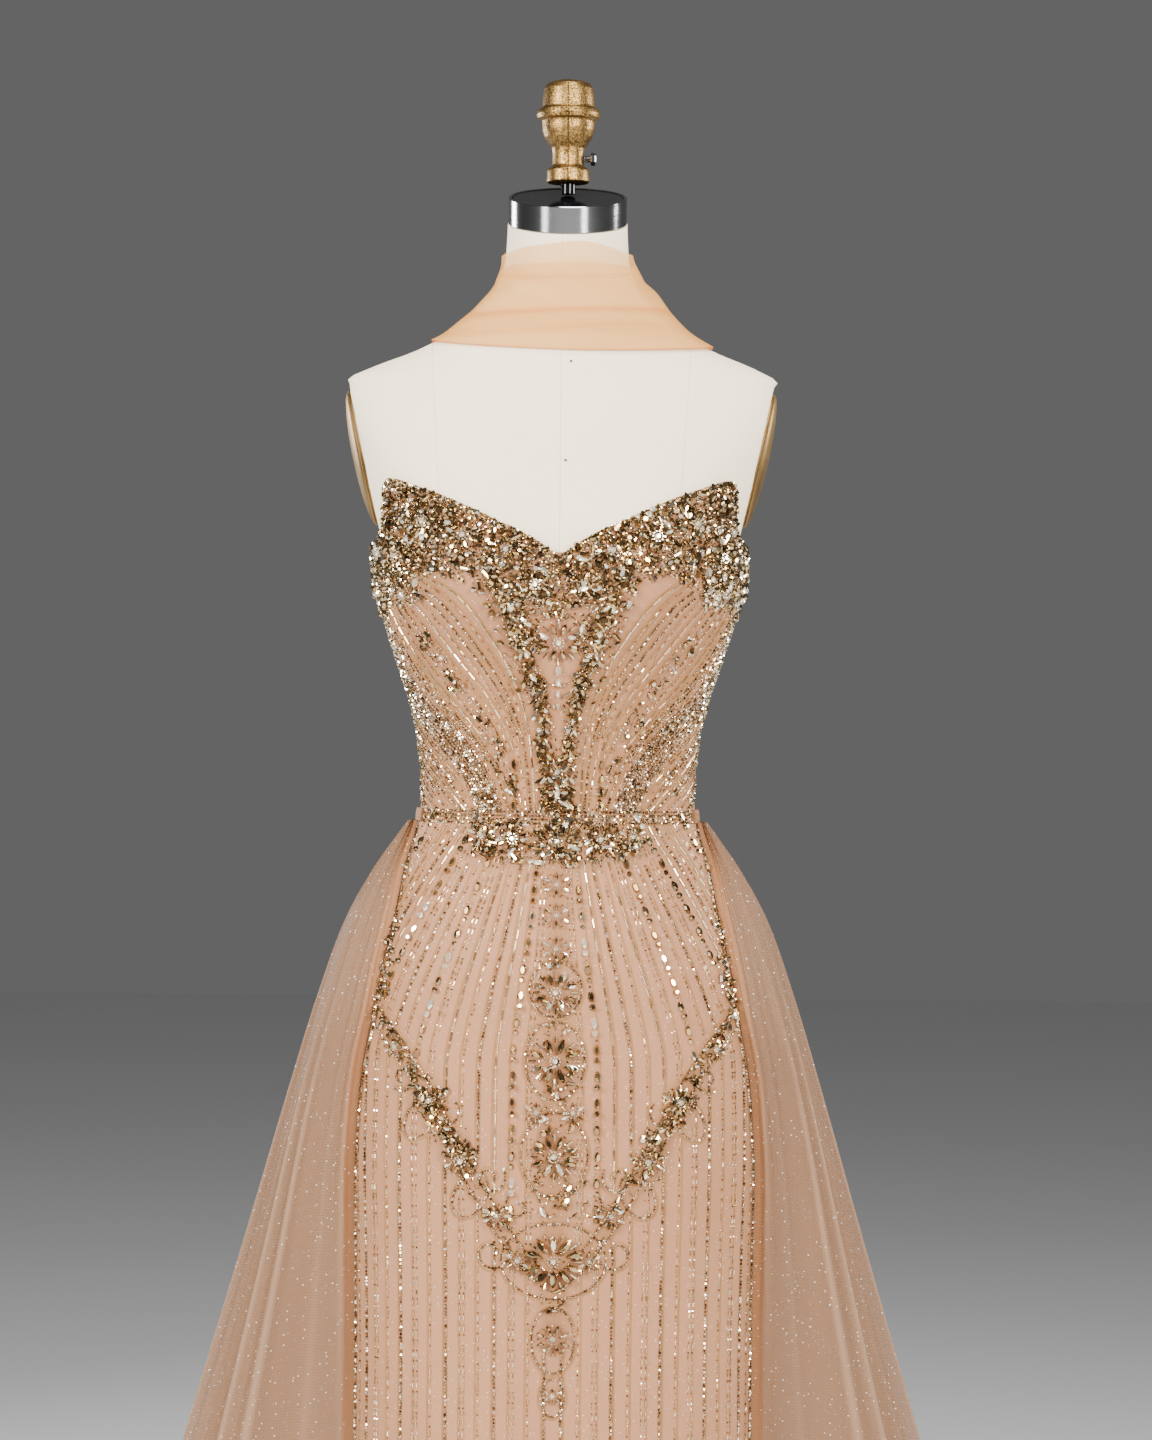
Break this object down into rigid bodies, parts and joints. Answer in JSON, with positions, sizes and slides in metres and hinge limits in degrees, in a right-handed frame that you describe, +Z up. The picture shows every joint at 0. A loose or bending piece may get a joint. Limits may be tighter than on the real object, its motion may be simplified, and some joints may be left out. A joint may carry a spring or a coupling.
{
  "type": "mermaid evening gown on dress form",
  "caption": "Strapless beaded mermaid gown with a sheer open-front overskirt and neck wrap, worn by a limbless dress form on a round base.",
  "frame": {"origin": "middle of the round base's underside, where the stand meets the floor", "axes": "+Z up along the pole, -Y towards the gown's front, +X towards the wearer's left"},
  "size_m": [0.964, 0.7279, 1.7375],
  "materials": {
    "beaded_cloth": "nude net over satin, covered with beads and crystals",
    "zip_tape": "woven nude tape",
    "glitter_tulle": "sheer nude tulle with fine glitter",
    "wrap_tulle": "sheer plain nude tulle",
    "form_linen": "off-white linen, plain weave",
    "plate_brass": "lacquered brass",
    "brushed_steel": "brushed",
    "gloss_black": "gloss enamel",
    "cast_gold": "gold paint on a rough casting"
  },
  "bodies": {
    "root": {"bodice_centre_front": "beaded_cloth", "bodice_side_front_left": "beaded_cloth", "bodice_side_front_right": "beaded_cloth", "bodice_back_left": "beaded_cloth", "bodice_back_right": "beaded_cloth", "skirt_front": "beaded_cloth", "skirt_back_left": "beaded_cloth", "skirt_back_right": "beaded_cloth", "centre_back_zip": "zip_tape", "overskirt_band": "glitter_tulle", "overskirt_outer_left": "glitter_tulle", "overskirt_outer_right": "glitter_tulle", "overskirt_under_left": "glitter_tulle", "overskirt_under_right": "glitter_tulle", "neck_wrap_inner": "wrap_tulle", "neck_wrap_outer": "wrap_tulle", "form_torso": "form_linen", "form_arm_plate_left": "plate_brass", "form_arm_plate_right": "plate_brass", "form_neck_band": "brushed_steel", "form_neck_disc": "gloss_black", "form_neck_shaft": "gloss_black", "form_finial": "cast_gold", "form_set_screw": "brushed_steel", "stand_pole": "gloss_black", "stand_base": "gloss_black"}
  },
  "joints": []
}
